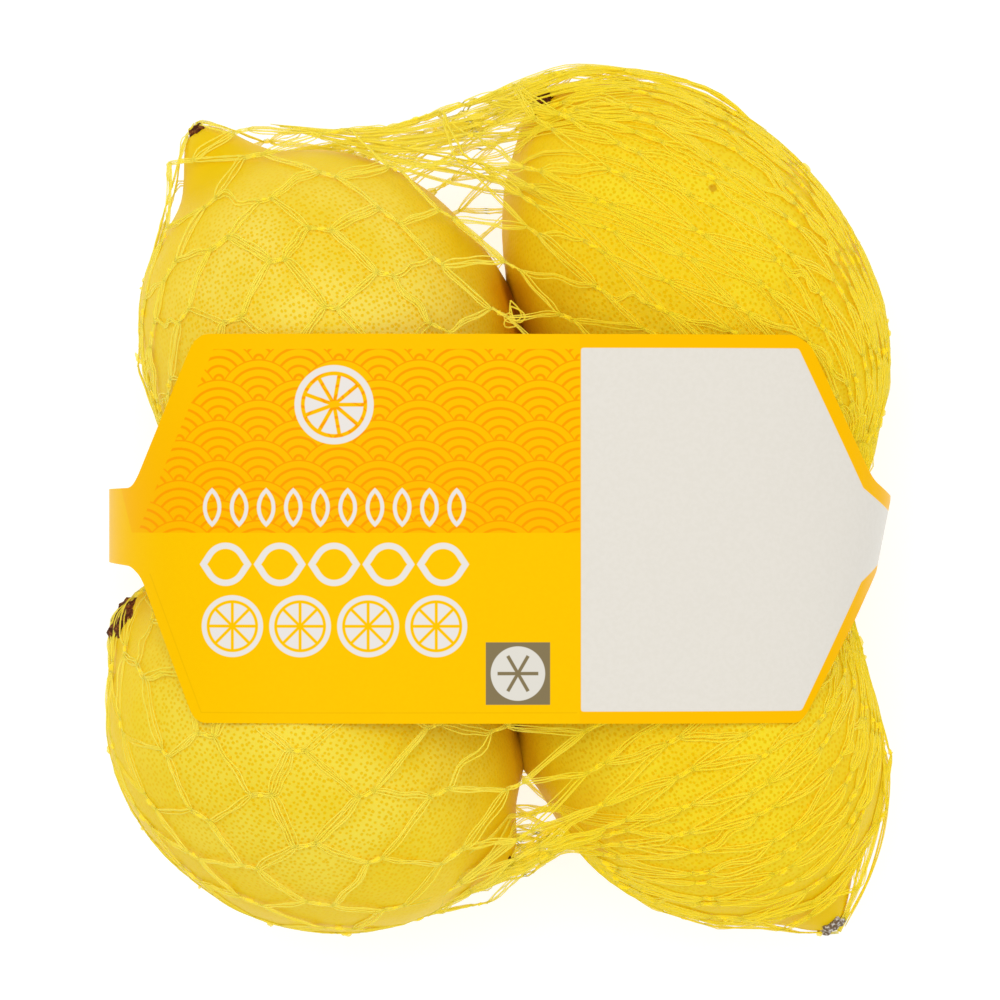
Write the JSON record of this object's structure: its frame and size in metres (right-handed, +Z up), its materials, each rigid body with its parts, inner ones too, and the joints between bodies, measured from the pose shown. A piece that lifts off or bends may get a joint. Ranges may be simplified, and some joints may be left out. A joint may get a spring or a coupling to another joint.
{
  "type": "net of lemons",
  "caption": "Lemons packed in a knitted tube of net that is gathered at both ends, with a printed film label arching across the front",
  "frame": {"origin": "on the table, under the middle of the pack's box", "axes": "+Z up from the table to the label on the front, +Y towards the top of the label, +X towards the right-hand tab"},
  "size_m": [0.1292, 0.1407, 0.0618],
  "materials": {
    "net": "satin",
    "peel": "satin",
    "stem": "matte",
    "label": "satin"
  },
  "bodies": {
    "root": {"lemons_in_net": "net", "label": "label"}
  },
  "joints": []
}
